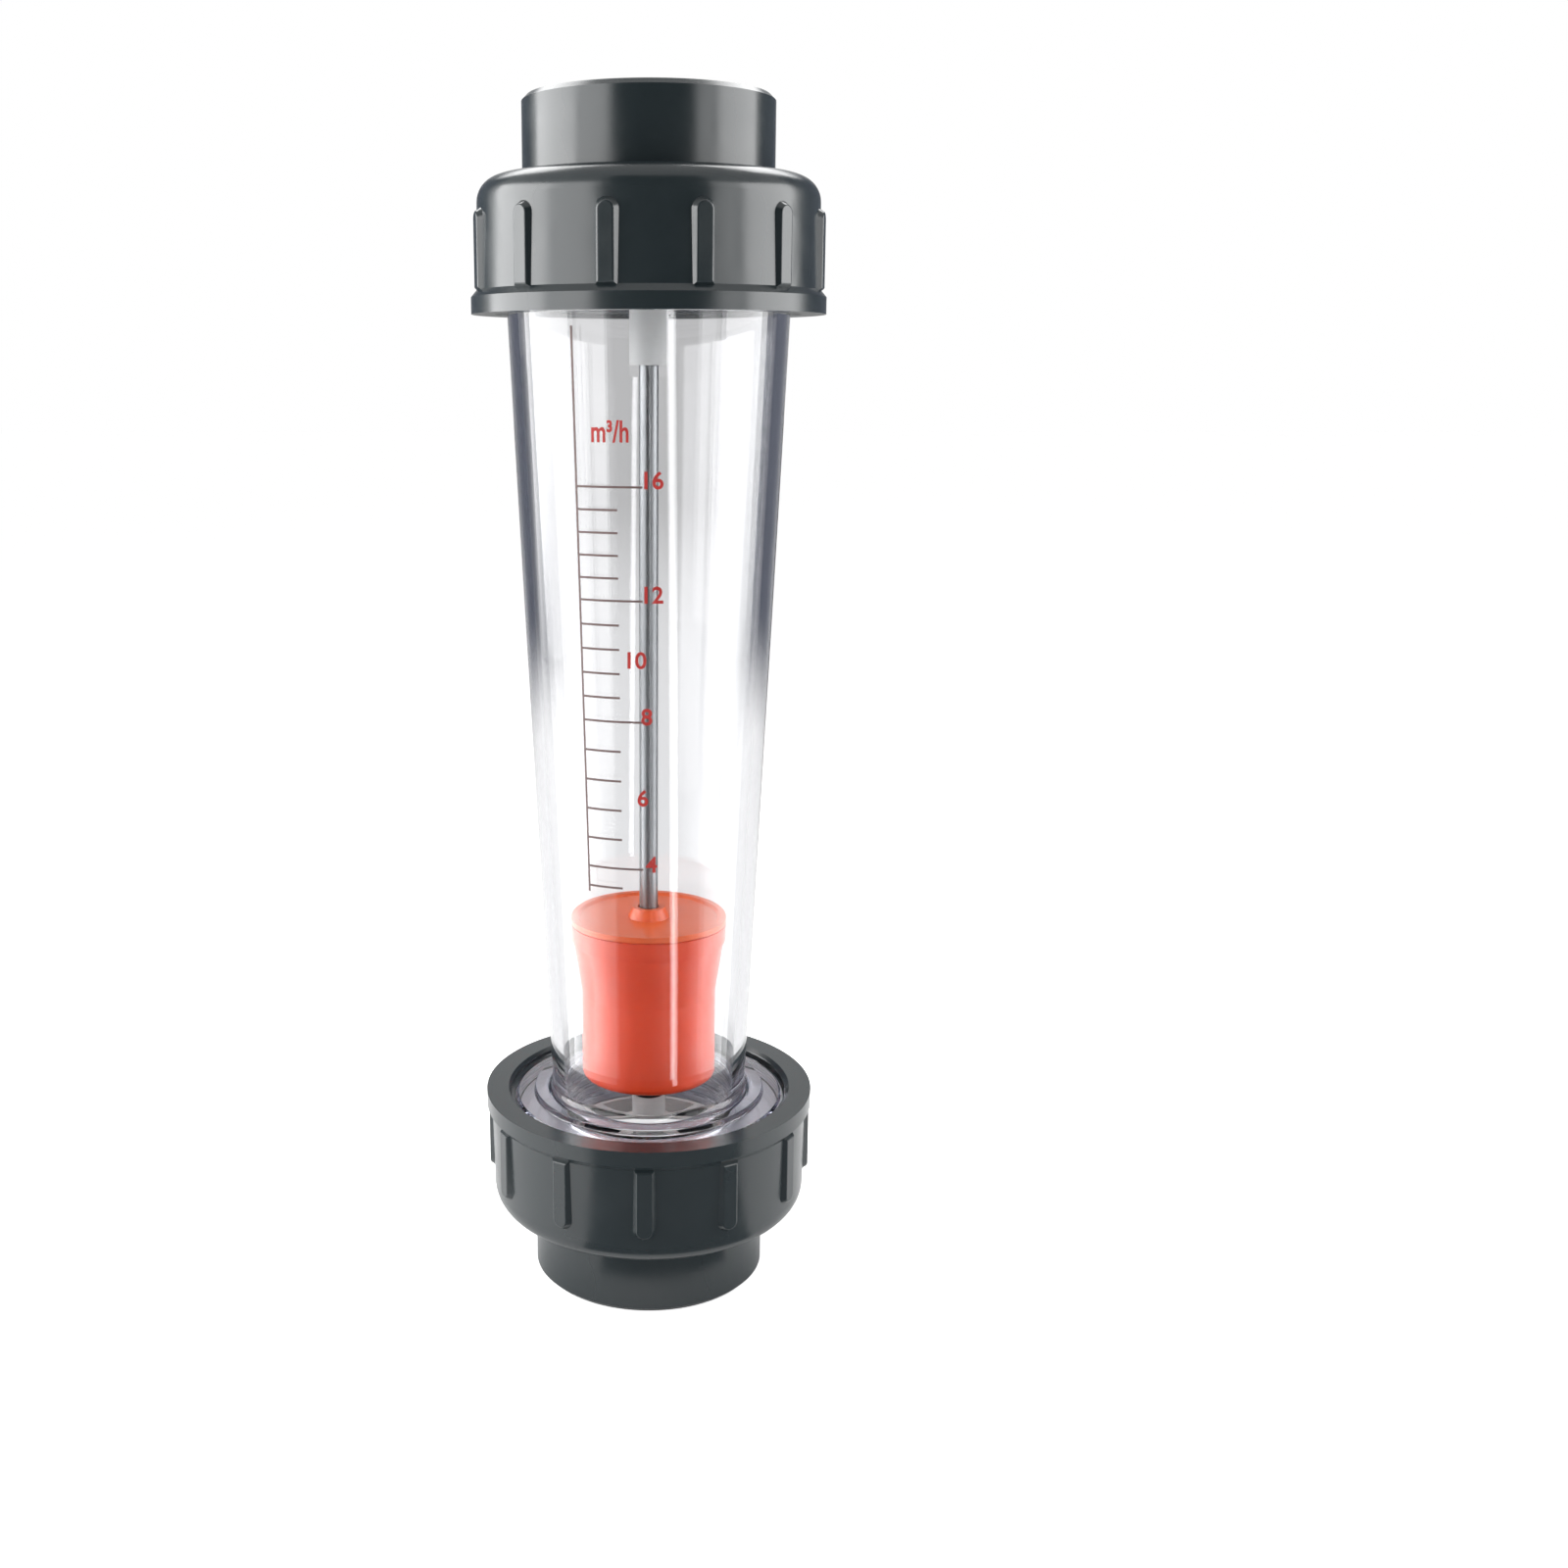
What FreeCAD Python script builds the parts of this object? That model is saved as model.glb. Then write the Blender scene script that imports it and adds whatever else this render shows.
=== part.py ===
"""Variable-area flow meter with a tapered clear tube, a guided float and a solvent union at each end.

FreeCAD macro, in millimetres. The flow axis is Z, and the origin is the centre of the lower rim.
Every length comes from the sheet "sizes". The two ends are alike: each end's pieces are drawn with
heights counted from their own rim, and the upper end's are turned over into place.
"""
import FreeCAD, Part
import Sketcher
import os

SIZES = [
    # Union end: the socket takes a pipe, and its flange seals against the tube.
    ("pipe_radius", 31.5),
    ("pipe_play", 0.1),
    ("socket_depth", 38.0),
    ("socket_wall", 6.4),
    ("socket_chamfer", 1.5),
    ("socket_stop", 4.0),
    ("flow_radius", 27.0),
    ("flange_play", 0.2),
    ("flange_thickness", 11.0),
    # Flat gasket between the flange and the end of the tube.
    ("gasket_thickness", 1.6),
    ("gasket_land", 0.5),
    # Union nut with drafted grip ribs, a rounded shoulder and a thicker lip.
    ("nut_height", 40.0),
    ("nut_shoulder", 8.0),
    ("nut_play", 0.4),
    ("nut_wall", 5.8),
    ("nut_flare", 0.7),
    ("nut_round", 7.5),
    ("lip_wall", 8.2),
    ("lip_height", 5.0),
    ("lip_slope", 2.0),
    ("lip_chamfer", 1.0),
    ("thread_depth", 1.6),
    ("rib_count", 12),
    ("rib_foot", 8.5),
    ("rib_width", 9.6),
    ("rib_root", 1.6),
    ("rib_proud", 1.9),
    ("rib_draft_angle", 35.0),
    ("rib_round", 0.7),
    ("lower_nut_angle", -1.5),
    ("upper_nut_angle", 17.0),
    # Measuring tube: a tapered bore in an even wall, with a threaded collar at each end.
    ("tube_length", 292.0),
    ("tube_wall", 3.9),
    ("bore_top_radius", 40.2),
    ("collar_proud", 0.1),
    ("collar_height", 19.0),
    ("collar_chamfer", 0.8),
    ("boss_radius", 38.0),
    ("boss_height", 2.0),
    ("boss_round", 3.0),
    ("seat_step", 1.6),
    ("seat_depth", 5.0),
    # Printed scale: one line along the tube and level marks running from it.
    ("print_thickness", 0.12),
    ("mark_height", 0.65),
    ("line_place_angle", 31.5),
    ("line_angle", 0.9),
    ("short_mark_angle", 18.5),
    ("long_mark_angle", 28.9),
    ("line_headroom", 25.0),
    ("mark_four", 105.3),
    ("four_to_eight", 46.2),
    ("eight_to_twelve", 36.6),
    ("twelve_to_sixteen", 33.3),
    ("mark_divisions", 5),
    ("lowest_mark_drop", 6.3),
    ("line_tail", 2.0),
    # Guide supports: a ring in each end of the tube, four arms and a hub with a recess for the rod's nut.
    ("support_play", 0.1),
    ("support_band", 3.0),
    ("arm_width", 3.5),
    ("arm_angle", 45.0),
    ("lower_hub_radius", 5.5),
    ("lower_hub_height", 18.0),
    ("upper_hub_radius", 7.5),
    ("upper_hub_height", 12.0),
    ("recess_radius", 6.8),
    ("recess_depth", 6.0),
    ("recess_wall", 1.8),
    ("recess_roof", 2.5),
    # Guide rod with a washer and a hexagon nut at each end.
    ("rod_radius", 3.0),
    ("rod_play", 0.05),
    ("rod_reach", 1.4),
    ("washer_radius", 6.0),
    ("washer_height", 1.6),
    ("hex_radius", 5.77),
    ("hex_height", 5.0),
    # Stops at the two ends of the float's travel.
    ("lower_stop_radius", 5.0),
    ("lower_stop_height", 6.5),
    ("upper_stop_radius", 6.0),
    ("upper_stop_height", 24.0),
    # Float: a hollow body with a flared head, its lid, a ballast ring and a guide bush.
    ("bush_play", 0.08),
    ("bush_radius", 5.0),
    ("bush_collar_radius", 7.0),
    ("bush_collar_height", 1.0),
    ("float_play", 0.05),
    ("float_radius", 22.0),
    ("float_round", 2.5),
    ("float_wall", 2.5),
    ("head_radius", 25.5),
    ("skirt_height", 29.5),
    ("flare_height", 16.8),
    ("head_height", 6.5),
    ("head_groove", 0.8),
    ("groove_height", 1.3),
    ("lid_thickness", 2.2),
    ("lid_play", 0.1),
    ("lid_spigot", 4.0),
    ("lid_rim", 2.0),
    ("lid_dish", 0.9),
    ("lid_seam", 0.5),
    ("lid_boss_radius", 6.8),
    ("lid_boss_top", 5.3),
    ("lid_boss_height", 2.5),
    ("lid_boss_roof", 1.8),
    ("lid_hole_play", 0.5),
    ("ballast_play", 0.3),
    ("ballast_height", 18.0),
]

TOLERANCE = 0.01

doc = FreeCAD.newDocument("rotameter")
sheet = doc.addObject("Spreadsheet::Sheet", "sizes")
for row, (alias, number) in enumerate(SIZES, 1):
    sheet.set(f"A{row}", alias)
    sheet.set(f"B{row}", str(number))
    sheet.setAlias(f"B{row}", alias)
doc.recompute()

# Heights and radii that several pieces share, as expressions. Heights count from an end's own rim.
BORE = "(sizes.pipe_radius + sizes.pipe_play)"
TAIL = f"({BORE} + sizes.socket_wall)"
SEAL_FACE = "(sizes.socket_depth + sizes.socket_stop)"
FLANGE_FOOT = f"({SEAL_FACE} - sizes.flange_thickness)"
FLANGE_FACE = f"({SEAL_FACE} - sizes.gasket_thickness)"
NUT_FOOT = f"({FLANGE_FOOT} - sizes.nut_shoulder)"
NUT_LIP = f"({NUT_FOOT} + sizes.nut_height)"
COLLAR = "(sizes.bore_top_radius + sizes.tube_wall + sizes.collar_proud)"
FLANGE = f"({COLLAR} - sizes.flange_play)"
NUT_BORE = f"({COLLAR} + sizes.thread_depth)"
NUT_SIDE = f"({NUT_BORE} + sizes.nut_wall)"
TUBE_TOP = f"({SEAL_FACE} + sizes.tube_length)"
OVERALL = f"({TUBE_TOP} + {SEAL_FACE})"
COLLAR_TOP = f"({SEAL_FACE} + sizes.collar_height)"
SEAT = "(sizes.flow_radius + sizes.seat_step)"
SEAT_TOP = f"({SEAL_FACE} + sizes.seat_depth)"
ROD_HOLE = "(sizes.rod_radius + sizes.rod_play)"
ROD_SEAT = f"({SEAL_FACE} + sizes.recess_depth)"
WASHER_FOOT = f"({ROD_SEAT} - sizes.washer_height)"
HEX_FOOT = f"({WASHER_FOOT} - sizes.hex_height)"
ROD_FOOT = f"({HEX_FOOT} - sizes.rod_reach)"
LOWER_STOP_FOOT = f"({SEAL_FACE} + sizes.lower_hub_height)"
BUSH_FOOT = f"({LOWER_STOP_FOOT} + sizes.lower_stop_height)"
FLOAT_FOOT = f"({BUSH_FOOT} + sizes.bush_collar_height)"
CAVITY_FLOOR = f"({FLOAT_FOOT} + sizes.float_wall)"
CAVITY = "(sizes.float_radius - sizes.float_wall)"
FLARE_FOOT = f"({FLOAT_FOOT} + sizes.skirt_height)"
HEAD_FOOT = f"({FLARE_FOOT} + sizes.flare_height)"
LID_FOOT = f"({HEAD_FOOT} + sizes.head_height)"
LID_FACE = f"({LID_FOOT} + sizes.lid_thickness)"
LID_TOP = f"({LID_FACE} + sizes.lid_boss_height)"
BUSH_TOP = f"({LID_TOP} - sizes.lid_boss_roof)"
BUSH_HOLE = "(sizes.bush_radius + sizes.float_play)"


def value(expression):
    """Number that an expression of the sheet gives."""
    return float(sheet.evalExpression(expression))


def bore_radius(height):
    """Radius of the tapered bore at a height above the lower rim, as an expression."""
    return (f"(sizes.flow_radius + (sizes.bore_top_radius - sizes.flow_radius)"
            f" * ({height} - {SEAL_FACE}) / sizes.tube_length)")


def tube_radius(height):
    """Outer radius of the clear tube at a height above the lower rim, as an expression."""
    return f"({bore_radius(height)} + sizes.tube_wall)"


def origin_part(body, role):
    """One of a body's own origin planes or axes."""
    return [part for part in body.Origin.OriginFeatures if part.Role == role][0]


def new_sketch(body, name, plane, outline, offset=None):
    """Closed outline of (across, up) expression pairs on one of the body's own planes."""
    sketch = body.newObject("Sketcher::SketchObject", name)
    sketch.AttachmentSupport = [(origin_part(body, plane), "")]
    sketch.MapMode = "FlatFace"
    if offset:
        sketch.setExpression("AttachmentOffset.Base.z", offset)
    corners = [FreeCAD.Vector(value(across), value(up), 0) for across, up in outline]
    count = len(corners)
    lines = [Part.LineSegment(corners[n], corners[(n + 1) % count]) for n in range(count)]
    sketch.addGeometry(lines, False)
    joins = [Sketcher.Constraint("Coincident", n, 2, (n + 1) % count, 1) for n in range(count)]
    sketch.addConstraint(joins)
    for n, (across, up) in enumerate(outline):
        place_point(sketch, "DistanceX", n, corners[n].x, across)
        place_point(sketch, "DistanceY", n, corners[n].y, up)
    return sketch


def place_point(sketch, kind, line, number, expression):
    """Ties the start of a line to the sketch's origin along one direction."""
    if number == 0:
        axis = -2 if kind == "DistanceX" else -1
        sketch.addConstraint(Sketcher.Constraint("PointOnObject", line, 1, axis))
        return
    index = sketch.addConstraint(Sketcher.Constraint(kind, -1, 1, line, 1, number))
    sketch.setExpression(f"Constraints[{index}]", expression)


def turned(name, outline):
    """Body made by turning an outline of (radius, height) about the flow axis."""
    body = doc.addObject("PartDesign::Body", name)
    sketch = new_sketch(body, f"{name}_outline", "XZ_Plane", outline)
    turn = body.newObject("PartDesign::Revolution", f"{name}_turned")
    turn.Profile = sketch
    turn.ReferenceAxis = (sketch, ["V_Axis"])
    turn.Angle = 360
    body.Tip = turn
    return body


def is_circle(edge, radius, height):
    """True for a circular edge about the flow axis with this radius and height."""
    curve = edge.Curve
    if not isinstance(curve, Part.Circle):
        return False
    return abs(curve.Radius - value(radius)) < TOLERANCE and abs(curve.Center.z - value(height)) < TOLERANCE


def round_edges(body, name, radius, test):
    """Rounds every edge of the body that passes a test."""
    doc.recompute()
    base = body.Tip
    chosen = [f"Edge{n}" for n, edge in enumerate(base.Shape.Edges, 1) if test(edge)]
    rounding = body.newObject("PartDesign::Fillet", name)
    rounding.Base = (base, chosen)
    rounding.setExpression("Radius", radius)
    body.Tip = rounding


def cylinder(name, radius, foot, height):
    """Plain cylinder on the flow axis."""
    solid = doc.addObject("Part::Cylinder", name)
    solid.setExpression("Radius", radius)
    solid.setExpression("Height", height)
    solid.setExpression("Placement.Base.z", foot)
    return solid


def cut(name, base, tool):
    """One solid taken out of another."""
    result = doc.addObject("Part::Cut", name)
    result.Base = base
    result.Tool = tool
    return result


def sleeve(name, radius, hole, foot, height):
    """Cylinder with a hole right through it."""
    outside = cylinder(f"{name}_outside", radius, foot, height)
    inside = cylinder(f"{name}_hole", hole, foot, height)
    return cut(name, outside, inside)


def turn_over(piece, turn="0"):
    """Moves a piece of the lower end to the upper end, and clocks it about the flow axis."""
    piece.setExpression("Placement", f"placement(vector(0; 0; {OVERALL}); rotation({turn}; 0; 180))")


def union_end(name):
    """Socket for the pipe, with a stop inside it and a flange that presses on the gasket."""
    bore_edge = f"({BORE} + sizes.socket_chamfer)"
    tail_edge = f"({TAIL} - sizes.socket_chamfer)"
    return turned(name, [
        (bore_edge, "0"),
        (tail_edge, "0"),
        (TAIL, "sizes.socket_chamfer"),
        (TAIL, FLANGE_FOOT),
        (FLANGE, FLANGE_FOOT),
        (FLANGE, FLANGE_FACE),
        ("sizes.flow_radius", FLANGE_FACE),
        ("sizes.flow_radius", "sizes.socket_depth"),
        (BORE, "sizes.socket_depth"),
        (BORE, "sizes.socket_chamfer"),
    ])


def gasket(name):
    """Flat ring between the flange and the tube, which also holds the guide support in its seat."""
    return sleeve(name, f"{FLANGE} - sizes.gasket_land", "sizes.flow_radius + sizes.gasket_land",
                  FLANGE_FACE, "sizes.gasket_thickness")


def union_nut(name):
    """Nut that draws the flange to the tube: tapered side, thicker lip, and grip ribs all round."""
    hole = f"({TAIL} + sizes.nut_play)"
    slope_foot = f"({NUT_LIP} - sizes.lip_height - sizes.lip_slope)"
    lip_foot = f"({NUT_LIP} - sizes.lip_height)"
    lip_side = f"({NUT_BORE} + sizes.lip_wall)"
    body = turned(name, [
        (hole, NUT_FOOT),
        (NUT_SIDE, NUT_FOOT),
        (f"({NUT_SIDE} + sizes.nut_flare)", slope_foot),
        (lip_side, lip_foot),
        (lip_side, NUT_LIP),
        (f"({NUT_BORE} + sizes.lip_chamfer)", NUT_LIP),
        (NUT_BORE, f"({NUT_LIP} - sizes.lip_chamfer)"),
        (NUT_BORE, FLANGE_FOOT),
        (hole, FLANGE_FOOT),
    ])
    round_edges(body, f"{name}_shoulder", "sizes.nut_round",
                lambda edge: is_circle(edge, NUT_SIDE, NUT_FOOT))
    rib = rib_pad(body, name, lip_foot)
    ribs = body.newObject("PartDesign::PolarPattern", f"{name}_ribs")
    ribs.Originals = [rib]
    ribs.Axis = (origin_part(body, "Z_Axis"), [""])
    ribs.Angle = 360
    ribs.setExpression("Occurrences", "sizes.rib_count")
    body.Tip = ribs
    doc.recompute()
    crests = [face for face in ribs.Shape.Faces if is_rib_crest(face)]
    outline = [edge for face in crests for edge in face.Edges if middle_height(edge) < value(slope_foot)]
    round_edges(body, f"{name}_rib_edges", "sizes.rib_round",
                lambda edge: any(edge.isSame(other) for other in outline))
    return body


def rib_pad(body, name, lip_foot):
    """One grip rib on the front: a drafted bar with a round end, running up into the lip."""
    root = f"({NUT_SIDE} - sizes.rib_root)"
    sketch = body.newObject("Sketcher::SketchObject", f"{name}_rib_outline")
    sketch.AttachmentSupport = [(origin_part(body, "XZ_Plane"), "")]
    sketch.MapMode = "FlatFace"
    sketch.setExpression("AttachmentOffset.Base.z", root)
    half = value("sizes.rib_width") / 2
    foot = value(f"{NUT_FOOT} + sizes.rib_foot") + half
    head = value(lip_foot)
    up = FreeCAD.Vector(0, 0, 1)
    arc = Part.ArcOfCircle(Part.Circle(FreeCAD.Vector(0, foot, 0), up, half), -3.141592653589793, 0)
    corners = [FreeCAD.Vector(half, foot, 0), FreeCAD.Vector(half, head, 0),
               FreeCAD.Vector(-half, head, 0), FreeCAD.Vector(-half, foot, 0)]
    lines = [Part.LineSegment(corners[n], corners[n + 1]) for n in range(3)]
    sketch.addGeometry([arc] + lines, False)
    sketch.addConstraint([
        Sketcher.Constraint("Tangent", 0, 2, 1, 1),
        Sketcher.Constraint("Coincident", 1, 2, 2, 1),
        Sketcher.Constraint("Coincident", 2, 2, 3, 1),
        Sketcher.Constraint("Tangent", 3, 2, 0, 1),
        Sketcher.Constraint("Horizontal", 2),
        Sketcher.Constraint("Vertical", 1),
        Sketcher.Constraint("PointOnObject", 0, 3, -2),
    ])
    bound = [
        (Sketcher.Constraint("Radius", 0, half), "sizes.rib_width / 2"),
        (Sketcher.Constraint("DistanceY", -1, 1, 0, 3, foot),
         f"{NUT_FOOT} + sizes.rib_foot + sizes.rib_width / 2"),
        (Sketcher.Constraint("DistanceY", -1, 1, 1, 2, head), lip_foot),
    ]
    for constraint, expression in bound:
        index = sketch.addConstraint(constraint)
        sketch.setExpression(f"Constraints[{index}]", expression)
    pad = body.newObject("PartDesign::Pad", f"{name}_rib")
    pad.Profile = sketch
    pad.setExpression("Length", "sizes.rib_root + sizes.rib_proud")
    pad.setExpression("TaperAngle", "-sizes.rib_draft_angle")
    body.Tip = pad
    return pad


def is_rib_crest(face):
    """True for the flat top of a grip rib."""
    if not isinstance(face.Surface, Part.Plane):
        return False
    middle = face.Surface.projectPoint(FreeCAD.Vector(0, 0, 0), "NearestPoint")
    crest = value(f"{NUT_SIDE} + sizes.rib_proud")
    return abs(middle.Length - crest) < TOLERANCE and abs(middle.z) < TOLERANCE


def middle_height(edge):
    """Height of the middle of an edge."""
    return edge.valueAt((edge.FirstParameter + edge.LastParameter) / 2).z


def measuring_tube():
    """Clear tube: tapered bore, even wall, a threaded collar at each end and a seat in the lower one."""
    name = "measuring_tube"
    boss_top = f"({COLLAR_TOP} + sizes.boss_height)"
    upper_collar = f"({TUBE_TOP} - sizes.collar_height)"
    body = turned(name, [
        (SEAT, SEAL_FACE),
        (COLLAR, SEAL_FACE),
        (COLLAR, f"({COLLAR_TOP} - sizes.collar_chamfer)"),
        (f"({COLLAR} - sizes.collar_chamfer)", COLLAR_TOP),
        ("sizes.boss_radius", COLLAR_TOP),
        ("sizes.boss_radius", boss_top),
        (tube_radius(boss_top), boss_top),
        (tube_radius(upper_collar), upper_collar),
        (COLLAR, upper_collar),
        (COLLAR, TUBE_TOP),
        ("sizes.bore_top_radius", TUBE_TOP),
        (bore_radius(SEAT_TOP), SEAT_TOP),
        (SEAT, SEAT_TOP),
    ])
    round_edges(body, f"{name}_boss_round", "sizes.boss_round",
                lambda edge: is_circle(edge, tube_radius(boss_top), boss_top))
    return body


def sector(name, foot, height, sweep):
    """Wedge that starts at the scale line and sweeps towards the middle of the front."""
    wedge = cylinder(name, f"{COLLAR} + sizes.nut_wall", foot, height)
    wedge.setExpression("Angle", sweep)
    wedge.setExpression("Placement.Rotation.Angle", "270 - sizes.line_place_angle")
    return wedge


def scale_marks():
    """Printed line and marks: the part of a thin conical skin that lies inside the wedges."""
    lowest = f"({SEAL_FACE} + sizes.mark_four - sizes.lowest_mark_drop)"
    four = f"({SEAL_FACE} + sizes.mark_four)"
    eight = f"({four} + sizes.four_to_eight)"
    twelve = f"({eight} + sizes.eight_to_twelve)"
    line_foot = f"({lowest} - sizes.line_tail)"
    line_length = f"{TUBE_TOP} - sizes.line_headroom - {line_foot}"
    wedges = [sector("scale_line", line_foot, line_length, "sizes.line_angle")]
    heights = [(lowest, "sizes.short_mark_angle"), (four, "sizes.long_mark_angle")]
    divisions = int(value("sizes.mark_divisions"))
    for foot, span in ((four, "four_to_eight"), (eight, "eight_to_twelve"), (twelve, "twelve_to_sixteen")):
        for step in range(1, divisions + 1):
            reach = "sizes.long_mark_angle" if step == divisions else "sizes.short_mark_angle"
            heights.append((f"({foot} + sizes.{span} * {step} / sizes.mark_divisions)", reach))
    for n, (height, reach) in enumerate(heights, 1):
        wedges.append(sector(f"scale_mark_{n}", f"{height} - sizes.mark_height / 2", "sizes.mark_height",
                             reach))
    wedge_set = doc.addObject("Part::MultiFuse", "scale_wedges")
    wedge_set.Shapes = wedges
    skin = cut("scale_skin", tube_cone("scale_outer", "sizes.print_thickness"), tube_cone("scale_inner", "0"))
    marks = doc.addObject("Part::MultiCommon", "scale_marks")
    marks.Shapes = [skin, wedge_set]
    return marks


def tube_cone(name, skin):
    """Solid cone as large as the clear tube's outside, grown outwards by a skin."""
    cone = doc.addObject("Part::Cone", name)
    cone.setExpression("Radius1", f"{tube_radius(SEAL_FACE)} + {skin}")
    cone.setExpression("Radius2", f"{tube_radius(TUBE_TOP)} + {skin}")
    cone.setExpression("Height", "sizes.tube_length")
    cone.setExpression("Placement.Base.z", SEAL_FACE)
    return cone


def lower_support():
    """Support whose ring sits in the seat at the tube's lower end."""
    outer = f"({SEAT} - sizes.support_play)"
    rim = cylinder("lower_guide_support_rim", outer, SEAL_FACE, "sizes.seat_depth")
    return guide_support("lower_guide_support", rim, outer, "sizes.lower_hub_radius",
                         "sizes.lower_hub_height")


def upper_support():
    """Support whose ring is tapered like the bore, and wedges in the tube's wide end."""
    mouth = "(sizes.bore_top_radius - sizes.support_play)"
    inner_end = f"({bore_radius(f'({TUBE_TOP} - sizes.seat_depth)')} - sizes.support_play)"
    rim = doc.addObject("Part::Cone", "upper_guide_support_rim")
    rim.setExpression("Radius1", mouth)
    rim.setExpression("Radius2", inner_end)
    rim.setExpression("Height", "sizes.seat_depth")
    rim.setExpression("Placement.Base.z", SEAL_FACE)
    return guide_support("upper_guide_support", rim, inner_end, "sizes.upper_hub_radius",
                         "sizes.upper_hub_height")


def guide_support(name, rim, outer, hub_radius, hub_height):
    """Ring, two crossing bars and a hub, flush with the tube's end, drilled and recessed for the rod."""
    inside = cylinder(f"{name}_inside", f"{outer} - sizes.support_band", SEAL_FACE, "sizes.seat_depth")
    ring = cut(f"{name}_ring", rim, inside)
    hub = cylinder(f"{name}_hub", hub_radius, SEAL_FACE, hub_height)
    boss = cylinder(f"{name}_boss", "sizes.recess_radius + sizes.recess_wall", SEAL_FACE,
                    "sizes.recess_depth + sizes.recess_roof")
    reach = f"({outer} - sizes.support_band / 2)"
    bars = []
    for side, turn in (("first", "sizes.arm_angle"), ("second", "sizes.arm_angle + 90")):
        bar = doc.addObject("Part::Box", f"{name}_{side}_bar")
        bar.setExpression("Length", f"2 * {reach}")
        bar.setExpression("Width", "sizes.arm_width")
        bar.setExpression("Height", "sizes.seat_depth")
        centred = f"vector(-{reach}; -sizes.arm_width / 2; {SEAL_FACE})"
        bar.setExpression("Placement", f"placement(vector(0; 0; 0); rotation({turn}; 0; 0))"
                                       f" * placement({centred}; rotation(0; 0; 0))")
        bars.append(bar)
    spider = doc.addObject("Part::MultiFuse", f"{name}_spider")
    spider.Shapes = [ring, hub, boss] + bars
    hole = cylinder(f"{name}_hole", ROD_HOLE, SEAL_FACE, hub_height)
    recess = cylinder(f"{name}_recess", "sizes.recess_radius", SEAL_FACE, "sizes.recess_depth")
    return cut(name, cut(f"{name}_drilled", spider, hole), recess)


def rod_washer(name):
    """Flat washer under a rod nut."""
    return sleeve(name, "sizes.washer_radius", ROD_HOLE, WASHER_FOOT, "sizes.washer_height")


def rod_nut(name):
    """Hexagon nut that clamps the rod to its support."""
    blank = doc.addObject("Part::Prism", f"{name}_blank")
    blank.Polygon = 6
    blank.setExpression("Circumradius", "sizes.hex_radius")
    blank.setExpression("Height", "sizes.hex_height")
    blank.setExpression("Placement.Base.z", HEX_FOOT)
    return cut(name, blank, cylinder(f"{name}_hole", ROD_HOLE, HEX_FOOT, "sizes.hex_height"))


def guide_rod():
    """Straight rod from below the lower nut to above the upper one."""
    return cylinder("guide_rod", "sizes.rod_radius", ROD_FOOT, f"{OVERALL} - 2 * {ROD_FOOT}")


def stop(name, radius, hub_height, height):
    """Buffer sleeve that sits on a support's hub."""
    return sleeve(name, radius, ROD_HOLE, f"{SEAL_FACE} + {hub_height}", height)


def float_bush():
    """Guide bush with a collar that carries the float and meets the lower stop."""
    bore = "(sizes.rod_radius + sizes.bush_play)"
    return turned("float_bush", [
        (bore, BUSH_FOOT),
        ("sizes.bush_collar_radius", BUSH_FOOT),
        ("sizes.bush_collar_radius", FLOAT_FOOT),
        ("sizes.bush_radius", FLOAT_FOOT),
        ("sizes.bush_radius", BUSH_TOP),
        (bore, BUSH_TOP),
    ])


def float_body():
    """Hollow float: straight skirt, flared head with a groove under its metering band, open top."""
    groove = "(sizes.head_radius - sizes.head_groove)"
    groove_top = f"({HEAD_FOOT} + sizes.groove_height)"
    body = turned("float_body", [
        (BUSH_HOLE, FLOAT_FOOT),
        ("sizes.float_radius", FLOAT_FOOT),
        ("sizes.float_radius", FLARE_FOOT),
        (groove, HEAD_FOOT),
        (groove, groove_top),
        ("sizes.head_radius", groove_top),
        ("sizes.head_radius", LID_FOOT),
        (CAVITY, LID_FOOT),
        (CAVITY, CAVITY_FLOOR),
        (BUSH_HOLE, CAVITY_FLOOR),
    ])
    round_edges(body, "float_body_round", "sizes.float_round",
                lambda edge: is_circle(edge, "sizes.float_radius", FLOAT_FOOT))
    return body


def float_lid():
    """Lid with a spigot, a shallow dish inside its rim and a boss over the bush."""
    spigot = f"({CAVITY} - sizes.lid_play)"
    rod_gap = "(sizes.rod_radius + sizes.lid_hole_play)"
    rim = "(sizes.head_radius - sizes.lid_rim)"
    dish = f"({LID_FACE} - sizes.lid_dish)"
    return turned("float_lid", [
        (BUSH_HOLE, f"({LID_FOOT} - sizes.lid_spigot)"),
        (spigot, f"({LID_FOOT} - sizes.lid_spigot)"),
        (spigot, LID_FOOT),
        ("(sizes.head_radius - sizes.lid_seam)", LID_FOOT),
        ("sizes.head_radius", f"({LID_FOOT} + sizes.lid_seam)"),
        ("sizes.head_radius", LID_FACE),
        (rim, LID_FACE),
        (f"({rim} - sizes.lid_dish)", dish),
        ("sizes.lid_boss_radius", dish),
        ("sizes.lid_boss_top", LID_TOP),
        (rod_gap, LID_TOP),
        (rod_gap, BUSH_TOP),
        (BUSH_HOLE, BUSH_TOP),
    ])


def float_ballast():
    """Heavy ring on the floor of the float's cavity."""
    return sleeve("float_ballast", f"{CAVITY} - sizes.ballast_play", f"{BUSH_HOLE} + sizes.ballast_play",
                  CAVITY_FLOOR, "sizes.ballast_height")


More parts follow.
